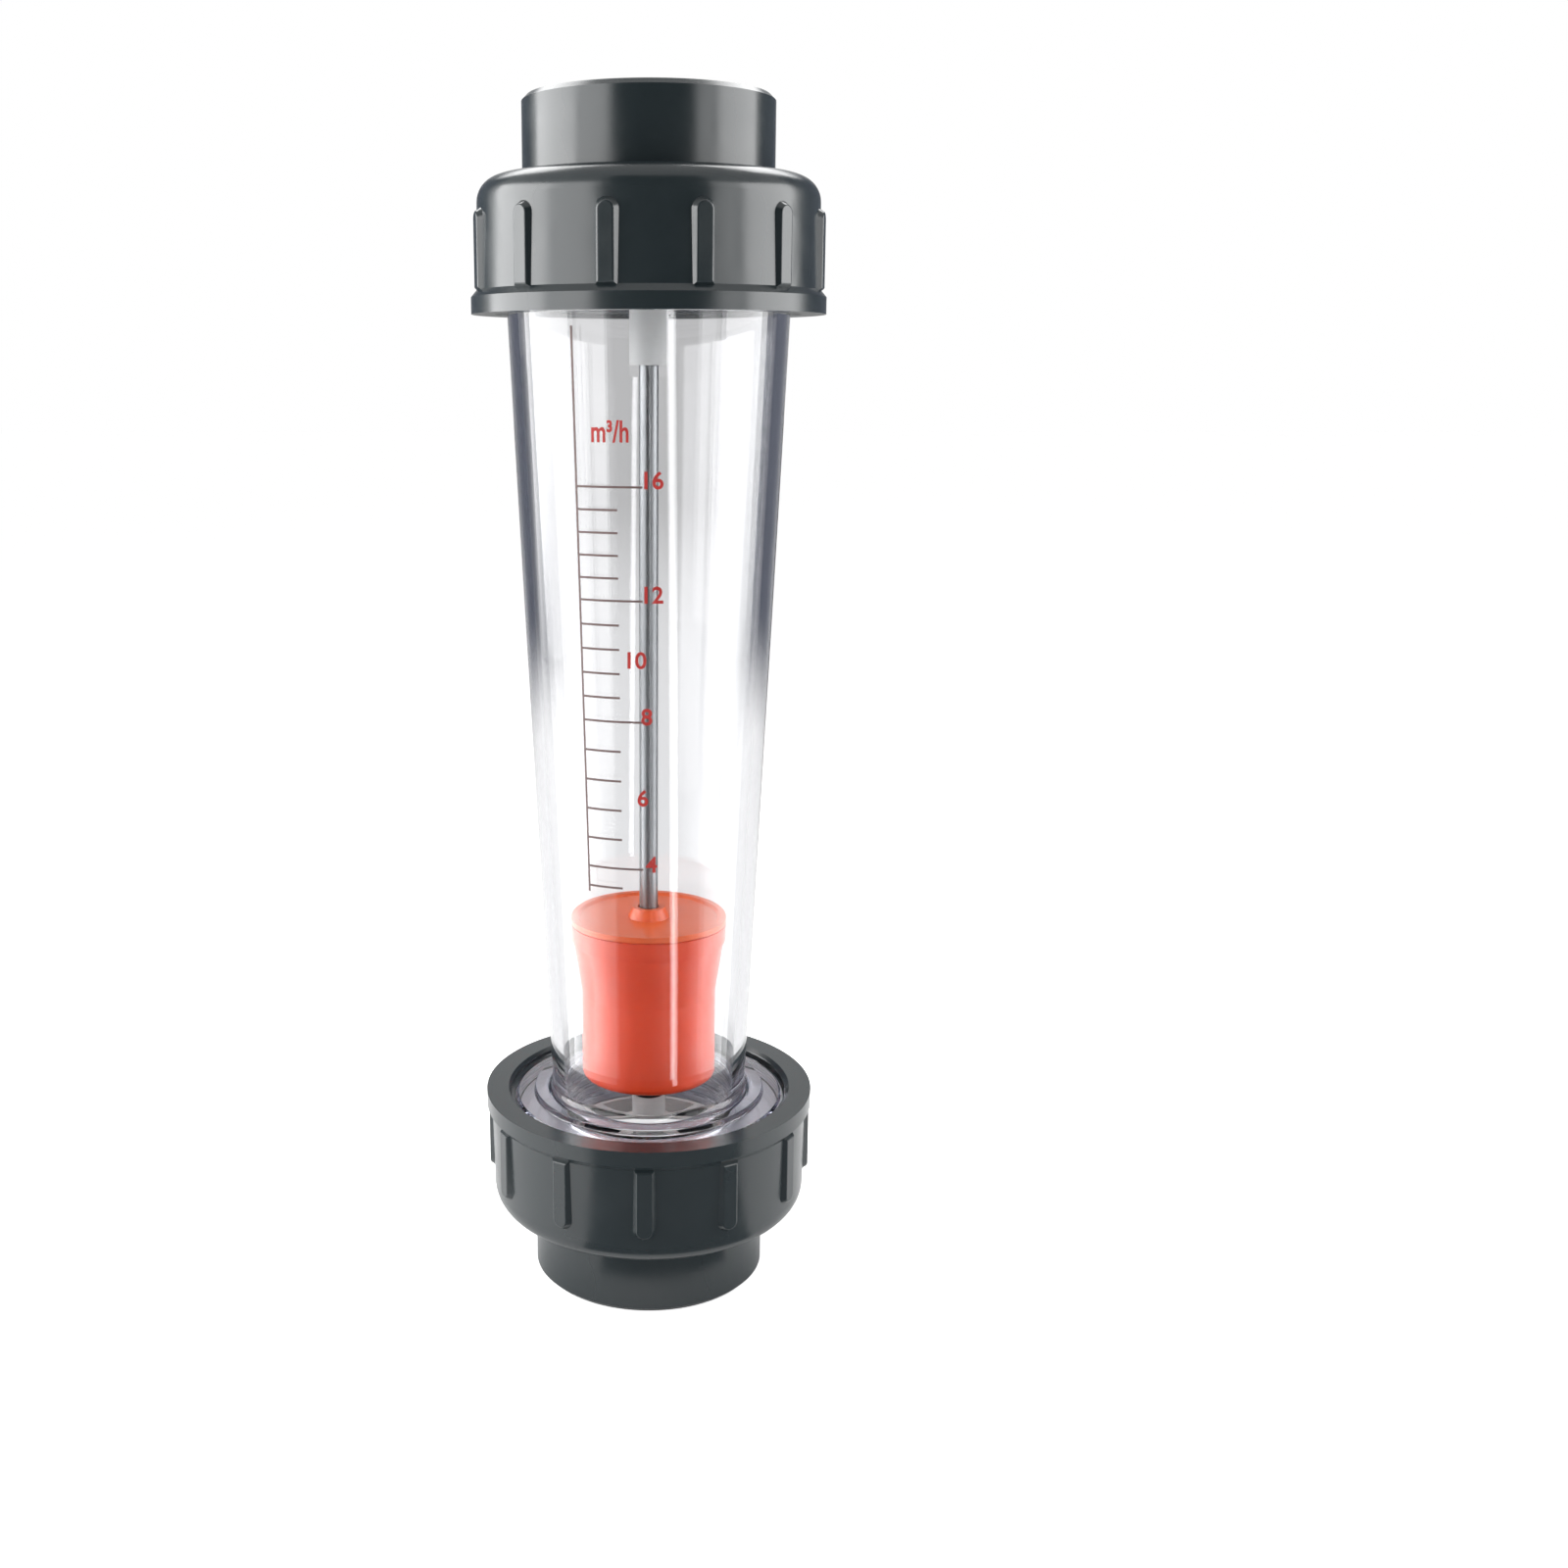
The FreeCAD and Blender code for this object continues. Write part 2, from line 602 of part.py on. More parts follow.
def end_pieces():
    """The pieces that both ends have, the upper ones turned over."""
    makers = [("union_end", union_end), ("gasket", gasket), ("union_nut", union_nut),
              ("rod_washer", rod_washer), ("rod_nut", rod_nut)]
    pieces = []
    for word, make in makers:
        lower = make(f"lower_{word}")
        upper = make(f"upper_{word}")
        if word == "union_nut":
            turn_over(upper, "sizes.upper_nut_angle")
            lower.setExpression("Placement.Rotation.Angle", "sizes.lower_nut_angle")
        else:
            turn_over(upper)
        pieces += [lower, upper]
    return pieces


def supports_and_stops():
    """Guide supports and stops, which differ in size between the two ends."""
    lower = [
        lower_support(),
        stop("lower_stop", "sizes.lower_stop_radius", "sizes.lower_hub_height", "sizes.lower_stop_height"),
    ]
    upper = [
        upper_support(),
        stop("upper_stop", "sizes.upper_stop_radius", "sizes.upper_hub_height", "sizes.upper_stop_height"),
    ]
    for piece in upper:
        turn_over(piece)
    return lower + upper


pieces = [measuring_tube(), scale_marks(), guide_rod(), float_bush(), float_body(), float_lid(),
          float_ballast()]
pieces += supports_and_stops()
pieces += end_pieces()
doc.recompute()

for item in doc.Objects:
    if "Invalid" in item.State or "Error" in item.State:
        raise RuntimeError(f"{item.Label} did not build: {item.State}")
for piece in pieces:
    piece.Label = piece.Name
    if piece.Shape.isNull() or not piece.Shape.isValid():
        raise RuntimeError(f"{piece.Label} has no valid shape")

os.makedirs("parts", exist_ok=True)
for piece in pieces:
    piece.Shape.exportStep(f"parts/{piece.Label}.step")
    print(f"{piece.Label}: {len(piece.Shape.Solids)} solid, {piece.Shape.Volume:.1f} mm3")
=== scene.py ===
"""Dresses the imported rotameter: finishes for its parts, the clear threaded tube, its scale and a plain studio.

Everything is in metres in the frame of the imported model: the flow axis is Z, the scale side faces -Y.
"""
import math

import bmesh
import bpy
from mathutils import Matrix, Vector


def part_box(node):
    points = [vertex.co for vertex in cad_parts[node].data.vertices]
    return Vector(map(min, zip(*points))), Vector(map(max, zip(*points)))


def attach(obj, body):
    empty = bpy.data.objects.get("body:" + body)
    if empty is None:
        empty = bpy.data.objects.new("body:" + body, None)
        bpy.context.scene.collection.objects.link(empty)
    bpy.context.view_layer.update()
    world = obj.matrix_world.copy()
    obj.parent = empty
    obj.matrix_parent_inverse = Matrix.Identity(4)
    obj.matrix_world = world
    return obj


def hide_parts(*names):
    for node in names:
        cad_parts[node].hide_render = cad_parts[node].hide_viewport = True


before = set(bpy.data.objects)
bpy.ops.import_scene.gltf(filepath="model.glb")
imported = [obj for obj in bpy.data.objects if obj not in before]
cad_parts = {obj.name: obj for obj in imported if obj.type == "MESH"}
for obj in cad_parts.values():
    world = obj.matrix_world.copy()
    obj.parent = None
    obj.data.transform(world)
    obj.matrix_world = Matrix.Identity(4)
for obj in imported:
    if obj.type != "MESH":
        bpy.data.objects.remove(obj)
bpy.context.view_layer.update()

bl_info = {
    "name": "Rotameter dressing",
    "version": (1, 0, 0),
    "blender": (4, 5, 0),
    "location": "View3D > Sidebar > Rotameter",
    "description": "Builds the visible rotameter around its packed model",
    "category": "Object",
}

MM = 0.001
TUBE_FOOT, TUBE_HEAD = (corner.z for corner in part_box("measuring_tube"))
COLLAR_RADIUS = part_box("measuring_tube")[1].x
ROD_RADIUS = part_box("guide_rod")[1].x
ROD_FOOT, ROD_HEAD = (corner.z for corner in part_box("guide_rod"))
LOWER_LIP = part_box("lower_union_nut")[1].z
UPPER_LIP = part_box("upper_union_nut")[0].z
AIM = Vector((0.0, 0.0, (TUBE_FOOT + TUBE_HEAD) / 2))
ROUND_STEPS = 240        # faces round the tube and the nuts' threads
THREAD_ROW = 0.3 * MM    # height of the fine rows that a union thread is cut from
ROD_STEPS = 56           # faces round the rod
ROD_ROW = 0.1 * MM       # height of the fine rows that the rod's thread is cut from
SAME_PLACE = 1e-6        # two points closer than this count as one
CAP_SHARE = 0.72         # height of a capital as a share of the font's size
LATHE_RINGS = (0.1, 0.1, 1.0)    # stretches a grain into rings round the flow axis
DRAWN_LINES = (1.0, 1.0, 0.02)   # stretches a grain into lines along it
# Levels of the white surroundings by the kind of ray that meets them. Glass and gloss see them darker than
# the camera does, which keeps the clear tube's inside grey before a white background.
FILL_VIEW = 0.3
GLOSS_VIEW = 0.7
GLASS_VIEW = 0.58
GLASS_FLOOR_VIEW = 0.9
CAMERA_VIEW = 1.0
# Fades of a lamp: axis across its sheet, where it is dark and where it is full.
LOWER_EDGE = (("Y", 0.0, 0.35),)
UPWARDS_AND_LEFT = (("Y", 0.6, 0.2), ("X", 1.0, 0.0))
UPWARDS_AND_RIGHT = (("Y", 0.6, 0.2), ("X", 0.0, 1.0))


def linear(code):
    """Linear red, green and blue of an sRGB hex colour."""
    levels = [int(code[n:n + 2], 16) / 255 for n in (1, 3, 5)]
    return tuple(v / 12.92 if v <= 0.04045 else ((v + 0.055) / 1.055) ** 2.4 for v in levels)


def length(label, description, default):
    """Property for a length in metres."""
    return bpy.props.FloatProperty(name=label, description=description, default=default, min=0.0,
                                   precision=5, unit="LENGTH", subtype="DISTANCE")


def colour(label, description, code):
    """Property for a colour, from its sRGB hex code."""
    return bpy.props.FloatVectorProperty(name=label, description=description, default=linear(code),
                                         min=0.0, max=1.0, size=3, subtype="COLOR")


class RotameterSizes(bpy.types.PropertyGroup):
    """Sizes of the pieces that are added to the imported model."""
    wall: length("Tube wall", "Thickness of the clear tube's wall", 3.9 * MM)
    bore_foot: length("Bore at the foot", "Radius of the tapered bore at the tube's lower end", 27.0 * MM)
    bore_head: length("Bore at the head", "Radius of the tapered bore at the tube's upper end",
                      COLLAR_RADIUS - 4.0 * MM)
    collar: length("Collar height", "Height of the threaded collar at each end of the tube", 19.0 * MM)
    boss: length("Boss radius", "Radius of the round step over the lower collar", 38.0 * MM)
    boss_height: length("Boss height", "Height of that step", 2.0 * MM)
    boss_round: length("Boss fillet", "Fillet between the step and the tube", 3.0 * MM)
    seat: length("Support seat", "Radius of the lower seat for the guide support", 28.6 * MM)
    seat_depth: length("Seat depth", "Depth of that seat", 5.0 * MM)
    air: length("Air gap", "Air between the tube's end faces and the gaskets", 0.05 * MM)
    pitch: length("Thread pitch", "Rise of the union thread in one turn", 4.0 * MM)
    ridge: length("Thread depth", "Height of the union thread's ridge", 1.3 * MM)
    nut_bore: length("Nut bore", "Radius of the union nut's bore between its ridges", 45.8 * MM)
    rod_thread: length("Rod thread", "Length of the thread at each end of the guide rod", 9.0 * MM)
    rod_pitch: length("Rod thread pitch", "Rise of the rod's thread in one turn", 1.0 * MM)
    rod_ridge: length("Rod thread depth", "Depth of the rod's thread", 0.5 * MM)
    numeral: length("Numeral height", "Height of the scale's numerals", 5.0 * MM)
    ink: length("Ink thickness", "Thickness of the printed numerals", 0.12 * MM)


class RotameterColours(bpy.types.PropertyGroup):
    """Colours of the finishes."""
    pvc: colour("Grey PVC", "Rigid grey PVC of the union nuts and sockets", "#262E31")
    orange: colour("Float", "Moulded orange of the float", "#F04A1E")
    # The lid's orange is lighter than the float's, as painted light on the float's top.
    lid: colour("Float lid", "Moulded orange of the float's lid", "#F2662C")
    ink: colour("Marks", "Ink of the level marks", "#6E5A58")
    numeral: colour("Numerals", "Ink of the numerals and the unit", "#B4302C")
    steel: colour("Steel", "Stainless steel of the rod and its nuts", "#C9CBCD")
    rod: colour("Rod", "Drawn stainless steel of the guide rod", "#8E9092")
    ptfe: colour("PTFE", "White PTFE of the bush and the upper stop", "#E8E9E8")
    rubber: colour("Rubber", "Black rubber of the lower stop", "#26262A")
    white: colour("Polypropylene", "White polypropylene of the guide supports", "#E6E6E4")
    gasket: colour("Gaskets", "White silicone of the gaskets", "#EDEDEE")
    acrylic: colour("Acrylic", "Tint of the clear tube in depth", "#D9DCF0")
    floor: colour("Floor", "Floor and background", "#F4F4F4")


# ---------------------------------------------------------------- nodes and meshes

def add(tree, kind, settings=None, inputs=None):
    """Adds a node with its settings, and sets or links its inputs."""
    node = tree.nodes.new(kind)
    for key, value in (settings or {}).items():
        setattr(node, key, value)
    for key, value in (inputs or {}).items():
        if isinstance(value, bpy.types.NodeSocket):
            tree.links.new(value, node.inputs[key])
        else:
            node.inputs[key].default_value = value
    return node


def finish(name, colour_value, **inputs):
    """New material with one Principled shader. Returns the material, its node tree and the shader."""
    material = bpy.data.materials.new(name)
    material.use_nodes = True
    tree = material.node_tree
    tree.nodes.clear()
    shader = add(tree, "ShaderNodeBsdfPrincipled", inputs={"Base Color": (*colour_value, 1.0), **inputs})
    add(tree, "ShaderNodeOutputMaterial", inputs={"Surface": shader.outputs[0]})
    material.diffuse_color = (*colour_value, 1.0)
    return material, tree, shader


def grain(tree, shader, size, depth, rough_low, rough_high, stretch=(1.0, 1.0, 1.0), patch=None):
    """Fine surface texture: noise of a real grain size as bump, and broader patches as roughness.

    Returns the patches, for the colour.
    """
    place = add(tree, "ShaderNodeTexCoord").outputs["Object"]
    stretched = add(tree, "ShaderNodeMapping", inputs={"Vector": place, "Scale": stretch}).outputs[0]
    fine = add(tree, "ShaderNodeTexNoise",
               inputs={"Vector": stretched, "Scale": 1 / size, "Detail": 3.0, "Roughness": 0.6})
    bump = add(tree, "ShaderNodeBump", inputs={"Height": fine.outputs[0], "Distance": depth, "Strength": 1.0})
    tree.links.new(bump.outputs[0], shader.inputs["Normal"])
    broad = add(tree, "ShaderNodeTexNoise",
                inputs={"Vector": stretched, "Scale": 1 / (patch or size * 14), "Detail": 4.0})
    rough = add(tree, "ShaderNodeMapRange",
                inputs={"Value": broad.outputs[0], "From Min": 0.35, "From Max": 0.65,
                        "To Min": rough_low, "To Max": rough_high})
    tree.links.new(rough.outputs[0], shader.inputs["Roughness"])
    return broad.outputs[0]


def mottle(tree, shader, patches, value, low, high):
    """Varies a colour between two shares of itself over the broad patches of a grain."""
    dark, light = ((*[min(1.0, v * share) for v in value], 1.0) for share in (low, high))
    tint = add(tree, "ShaderNodeMix", {"data_type": "RGBA"}, {"Factor": patches, 6: dark, 7: light})
    tree.links.new(tint.outputs[2], shader.inputs["Base Color"])


def dress(material, *nodes):
    """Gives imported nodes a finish."""
    for node in nodes:
        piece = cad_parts[node]
        for slot in piece.material_slots:
            slot.link = "OBJECT"
            slot.material = material


def piece_from(mesh_builder, name, material, body, slot, *nodes, sharp=math.radians(30)):
    """Makes a piece from a bmesh, with its finish, body and the nodes that it stands for. Its slot is not used.
    """
    mesh = bpy.data.meshes.new(name)
    mesh_builder.to_mesh(mesh)
    mesh_builder.free()
    mesh.materials.append(material)
    for face in mesh.polygons:
        face.use_smooth = True
    mesh.set_sharp_from_angle(angle=sharp)
    piece = bpy.data.objects.new(name, mesh)
    bpy.context.scene.collection.objects.link(piece)
    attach(piece, body)
    if nodes:
        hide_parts(*nodes)
    return piece


def profile(bm, corners, closed=True):
    """Wire of (radius, height) corners in the plane that is turned about the flow axis."""
    points = [bm.verts.new((radius, 0.0, height)) for radius, height in corners]
    edges = [bm.edges.new((points[n - 1], points[n])) for n in range(0 if closed else 1, len(points))]
    return edges


def soften(bm, corners, reach, segments):
    """Rounds corners of a wire, each given by its radius and height."""
    points = [point for point in bm.verts
              if any(math.hypot(point.co.x - r, point.co.z - z) < SAME_PLACE for r, z in corners)]
    bmesh.ops.bevel(bm, geom=points, offset=reach, offset_type="OFFSET", segments=segments, profile=0.5,
                    affect="VERTICES", material=-1)


def turn(bm, steps):
    """Turns all wires once round the flow axis and makes the faces point outwards."""
    geometry = bm.verts[:] + bm.edges[:]
    bmesh.ops.spin(bm, geom=geometry, cent=(0, 0, 0), axis=(0, 0, 1), dvec=(0, 0, 0), angle=math.tau,
                   steps=steps, use_merge=True, use_normal_flip=False, use_duplicate=False)
    bmesh.ops.remove_doubles(bm, verts=bm.verts, dist=1e-7)
    bmesh.ops.recalc_face_normals(bm, faces=bm.faces)


def bore_radius(s, height):
    """Radius of the tube's tapered bore at a height."""
    along = (height - TUBE_FOOT) / (TUBE_HEAD - TUBE_FOOT)
    return s.bore_foot + (s.bore_head - s.bore_foot) * along


def thread_height(angle, height, pitch):
    """How far up its ridge a right-handed thread is at a place, from 0 at the root to 1 at the crest."""
    half_ridge, flank = 0.27, 0.2    # shares of the pitch
    phase = (height - TUBE_FOOT - pitch * angle / math.tau) / pitch % 1.0
    return min(1.0, max(0.0, (half_ridge - abs(phase - 0.5)) / flank))


def cut_thread(bm, radius, foot, head, depth, pitch, shift=0.0, fade=1.2 * MM):
    """Moves the fine rows of a cylinder to the ridges of a thread that fades at both ends."""
    on_radius = 0.01 * MM
    for point in bm.verts:
        if abs(math.hypot(point.co.x, point.co.y) - radius) > on_radius:
            continue
        if not foot < point.co.z < head:
            continue
        angle = math.atan2(point.co.y, point.co.x)
        fading = min(1.0, (point.co.z - foot) / fade, (head - point.co.z) / fade)
        rise = depth * fading * thread_height(angle, point.co.z + shift, pitch)
        point.co.xy *= (radius + rise) / radius


# ---------------------------------------------------------------- operators

class ROTAMETER_OT_tube(bpy.types.Operator):
    """Clear tapered tube with the union thread on its two collars"""
    bl_idname = "rotameter.tube"
    bl_label = "Clear tube"

    def execute(self, context):
        s, c = context.scene.rotameter_sizes, context.scene.rotameter_colours
        # A hair of air over the gaskets: faces in one place would render black.
        foot, head = TUBE_FOOT + s.air, TUBE_HEAD - s.air
        collar_top = TUBE_FOOT + s.collar
        boss_top = collar_top + s.boss_height
        upper_foot = TUBE_HEAD - s.collar
        chamfer = 0.8 * MM
        ease = 0.5 * MM
        # A row close to each rounded corner keeps the long walls straight where light bends through them.
        hold = 0.2 * MM
        wall_foot = boss_top + s.boss_round + hold
        bore_top = head - ease - hold
        seat_top = TUBE_FOOT + s.seat_depth
        boss_corner = (bore_radius(s, boss_top) + s.wall, boss_top)
        bm = bmesh.new()
        profile(bm, [
            (s.seat, foot),
            (COLLAR_RADIUS, foot),
            (COLLAR_RADIUS, collar_top - chamfer),
            (COLLAR_RADIUS - chamfer, collar_top),
            (s.boss, collar_top),
            (s.boss, boss_top),
            boss_corner,
            (bore_radius(s, wall_foot) + s.wall, wall_foot),
            (bore_radius(s, upper_foot) + s.wall, upper_foot),
            (COLLAR_RADIUS, upper_foot),
            (COLLAR_RADIUS, head),
            (s.bore_head, head),
            (bore_radius(s, bore_top), bore_top),
            (bore_radius(s, seat_top), seat_top),
            (s.seat, seat_top),
        ])
        soften(bm, [boss_corner], s.boss_round, 8)
        soften(bm, [(s.boss, collar_top), (s.boss, boss_top), (s.bore_head, head)], ease, 3)
        collars = [edge for edge in bm.edges
                   if all(abs(end.co.x - COLLAR_RADIUS) < SAME_PLACE for end in edge.verts)]
        bmesh.ops.subdivide_edges(bm, edges=collars, cuts=int(s.collar / THREAD_ROW))
        turn(bm, ROUND_STEPS)
        run_in = 0.5 * MM
        for start, end in ((foot + run_in, collar_top - chamfer), (upper_foot, head)):
            cut_thread(bm, COLLAR_RADIUS, start, end, s.ridge, s.pitch)
        # Cast acrylic, machined and polished: clear as glass, with a faint cool tint where it is thick.
        material, tree, shader = finish("polished_acrylic", (1.0, 1.0, 1.0),
                                        **{"Roughness": 0.01, "IOR": 1.49, "Transmission Weight": 1.0})
        absorb = add(tree, "ShaderNodeVolumeAbsorption",
                     inputs={"Color": (*c.acrylic, 1.0), "Density": 14.0})
        tree.links.new(absorb.outputs[0], tree.nodes["Material Output"].inputs["Volume"])
        # The collars' threads are left as they come off the lathe, and look frosted.
        machined, tree, shader = finish("machined_acrylic", (0.86, 0.86, 0.9),
                                        **{"Roughness": 0.45, "IOR": 1.49, "Transmission Weight": 0.45})
        grain(tree, shader, 0.3 * MM, 0.01 * MM, 0.4, 0.5, stretch=LATHE_RINGS)
        piece = piece_from(bm, "clear_tube", material, "meter_tube", "clear_tube", "measuring_tube")
        piece.data.materials.append(machined)
        frosted = COLLAR_RADIUS - 0.2 * MM
        for face in piece.data.polygons:
            if math.hypot(face.center.x, face.center.y) > frosted:
                face.material_index = 1
        return {"FINISHED"}


class ROTAMETER_OT_nut_threads(bpy.types.Operator):
    """Union thread inside the two nuts"""
    bl_idname = "rotameter.nut_threads"
    bl_label = "Nut threads"

    def execute(self, context):
        s = context.scene.rotameter_sizes
        root = s.nut_bore - 0.02 * MM    # just proud of the nut's bore
        back = s.nut_bore + 0.6 * MM     # hidden inside its wall
        rim = 1.0 * MM
        run_in = 0.5 * MM
        for name, foot, head in (("lower", TUBE_FOOT + run_in, LOWER_LIP - rim),
                                 ("upper", UPPER_LIP + rim, TUBE_HEAD - run_in)):
            bm = bmesh.new()
            edges = profile(bm, [(root, foot), (root, head), (back, head), (back, foot)])
            bmesh.ops.subdivide_edges(bm, edges=[edges[1]], cuts=int((head - foot) / THREAD_ROW))
            turn(bm, ROUND_STEPS)
            cut_thread(bm, root, foot, head, -s.ridge, s.pitch, shift=s.pitch / 2)
            piece_from(bm, f"{name}_nut_thread", bpy.data.materials["moulded_rigid_pvc"],
                       f"{name}_nut", "grey_pvc")
        return {"FINISHED"}


class ROTAMETER_OT_housing(bpy.types.Operator):
    """Grey PVC of the union nuts and the sockets"""
    bl_idname = "rotameter.housing"
    bl_label = "Union finish"

    def execute(self, context):
        c = context.scene.rotameter_colours
        # Rigid grey PVC, injection moulded: a smooth skin with a faint orange peel and softly varied gloss.
        material, tree, shader = finish("moulded_rigid_pvc", c.pvc,
                                        **{"Roughness": 0.22, "IOR": 1.54, "Specular IOR Level": 0.7})
        patches = grain(tree, shader, 0.9 * MM, 0.002 * MM, 0.19, 0.26)
        mottle(tree, shader, patches, c.pvc, 0.9, 1.1)
        dress(material, "lower_union_nut", "upper_union_nut", "lower_union_end", "upper_union_end")
        return {"FINISHED"}


class ROTAMETER_OT_float(bpy.types.Operator):
    """Finishes of the float, its lid, ballast and guide bush, and of the upper stop"""
    bl_idname = "rotameter.float"
    bl_label = "Float finish"

    def execute(self, context):
        c = context.scene.rotameter_colours
        # Injection-moulded ABS: an even orange with a satin skin.
        material, tree, shader = finish("moulded_abs", c.orange,
                                        **{"Roughness": 0.3, "IOR": 1.53, "Subsurface Weight": 0.15,
                                           "Subsurface Radius": (0.004, 0.0015, 0.001)})
        patches = grain(tree, shader, 0.9 * MM, 0.002 * MM, 0.28, 0.36)
        mottle(tree, shader, patches, c.orange, 0.94, 1.05)
        dress(material, "float_body")
        # The lid is moulded from a yellower orange, and its lighter tone is painted light on the float's top.
        lid, tree, shader = finish("lid_abs_with_painted_top_light", c.lid, **{"Roughness": 0.32, "IOR": 1.53})
        grain(tree, shader, 0.9 * MM, 0.002 * MM, 0.28, 0.36)
        dress(lid, "float_lid")
        # Turned PTFE: white, waxy, with fine lathe rings.
        ptfe, tree, shader = finish("turned_ptfe", c.ptfe,
                                    **{"Roughness": 0.45, "IOR": 1.38, "Subsurface Weight": 0.3,
                                       "Subsurface Radius": (0.002, 0.002, 0.002)})
        grain(tree, shader, 0.5 * MM, 0.01 * MM, 0.4, 0.5, stretch=LATHE_RINGS)
        dress(ptfe, "float_bush", "upper_stop")
        # Turned steel ballast with lathe rings.
        steel, tree, shader = finish("turned_steel", c.steel, **{"Metallic": 1.0, "Roughness": 0.35})
        grain(tree, shader, 0.3 * MM, 0.01 * MM, 0.3, 0.42, stretch=LATHE_RINGS)
        dress(steel, "float_ballast")
        return {"FINISHED"}


class ROTAMETER_OT_guide(bpy.types.Operator):
    """Finishes of the rod, its nuts and washers, the lower stop, the supports and the gaskets"""
    bl_idname = "rotameter.guide"
    bl_label = "Guide finish"

    def execute(self, context):
        c = context.scene.rotameter_colours
        # Drawn stainless rod: satin, with faint lines along it.
        rod, tree, shader = finish("drawn_stainless_steel", c.rod, **{"Metallic": 1.0, "Roughness": 0.4})
        grain(tree, shader, 0.15 * MM, 0.002 * MM, 0.36, 0.46, stretch=DRAWN_LINES, patch=2 * MM)
        self.rod(context.scene.rotameter_sizes, rod)
        # Cold-formed stainless fasteners, tumbled.
        small, tree, shader = finish("tumbled_stainless_steel", c.steel,
                                     **{"Metallic": 1.0, "Roughness": 0.3})
        grain(tree, shader, 0.2 * MM, 0.006 * MM, 0.26, 0.4)
        dress(small, "lower_rod_nut", "upper_rod_nut", "lower_rod_washer", "upper_rod_washer")
        # Moulded black rubber: soft sheen over a fine grain.
        rubber, tree, shader = finish("moulded_rubber", c.rubber, **{"Roughness": 0.6, "IOR": 1.52})
        grain(tree, shader, 0.25 * MM, 0.012 * MM, 0.5, 0.65)
        dress(rubber, "lower_stop")
        # Moulded white polypropylene: satin, slightly see-through at the edges.
        white, tree, shader = finish("moulded_polypropylene", c.white,
                                     **{"Roughness": 0.4, "IOR": 1.49, "Subsurface Weight": 0.2,
                                        "Subsurface Radius": (0.002, 0.002, 0.002)})
        grain(tree, shader, 0.7 * MM, 0.006 * MM, 0.34, 0.46)
        dress(white, "lower_guide_support", "upper_guide_support")
        # White silicone sheet, die-cut: matt, with a fine dusty grain.
        silicone, tree, shader = finish("white_silicone", c.gasket, **{"Roughness": 0.6, "IOR": 1.41})
        grain(tree, shader, 0.4 * MM, 0.006 * MM, 0.55, 0.7)
        dress(silicone, "lower_gasket", "upper_gasket")
        return {"FINISHED"}

    def rod(self, s, steel):
        """Guide rod with chamfered ends and the thread that its nuts run on."""
        tip = 0.5 * MM
        ends = ((ROD_FOOT + tip, ROD_FOOT + s.rod_thread), (ROD_HEAD - s.rod_thread, ROD_HEAD - tip))
        bm = bmesh.new()
        profile(bm, [(0.0, ROD_FOOT), (ROD_RADIUS - tip, ROD_FOOT), (ROD_RADIUS, ends[0][0]),
                     (ROD_RADIUS, ends[0][1]), (ROD_RADIUS, ends[1][0]), (ROD_RADIUS, ends[1][1]),
                     (ROD_RADIUS - tip, ROD_HEAD), (0.0, ROD_HEAD)], closed=False)
        for foot, head in ends:
            edges = [edge for edge in bm.edges
                     if all(foot - SAME_PLACE < end.co.z < head + SAME_PLACE for end in edge.verts)]
            bmesh.ops.subdivide_edges(bm, edges=edges, cuts=int((head - foot) / ROD_ROW))
        turn(bm, ROD_STEPS)
        for foot, head in ends:
            cut_thread(bm, ROD_RADIUS, foot, head, -s.rod_ridge, s.rod_pitch, fade=0.3 * MM)
        piece_from(bm, "guide_rod_threaded", steel, "meter_tube", "rod_steel", "guide_rod")


